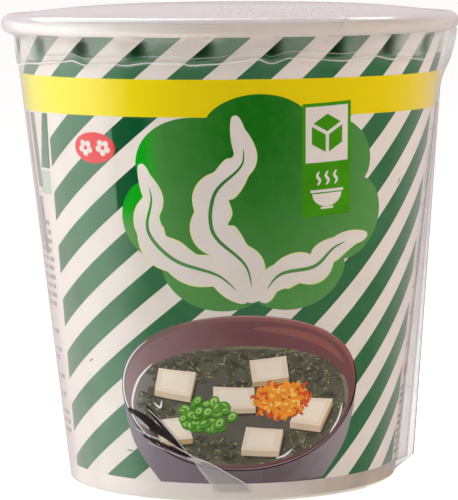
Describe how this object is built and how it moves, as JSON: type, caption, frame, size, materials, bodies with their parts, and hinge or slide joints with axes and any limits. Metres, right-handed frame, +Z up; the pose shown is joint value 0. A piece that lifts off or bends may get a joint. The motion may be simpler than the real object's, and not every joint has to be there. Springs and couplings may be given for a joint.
{
  "type": "sealed instant soup cup",
  "caption": "Shut paper soup cup with a rolled rim and a peel lid, shrink-wrapped in clear film with a seam fin on one side.",
  "frame": {"origin": "centre of the base, on the surface that the cup stands on", "axes": "+Z up along the cup's axis, -Y towards the front of the print, +X towards the film's seam fin"},
  "size_m": [0.0958, 0.0958, 0.0997],
  "materials": {
    "printed_paper": "coated paper, printed, semi-gloss",
    "lid_laminate": "coated paper laminate, satin",
    "shrink_film": "clear thin film, glossy"
  },
  "bodies": {
    "root": {"cup_body": "printed_paper", "lid": "lid_laminate", "film_wrap": "shrink_film"}
  },
  "joints": []
}
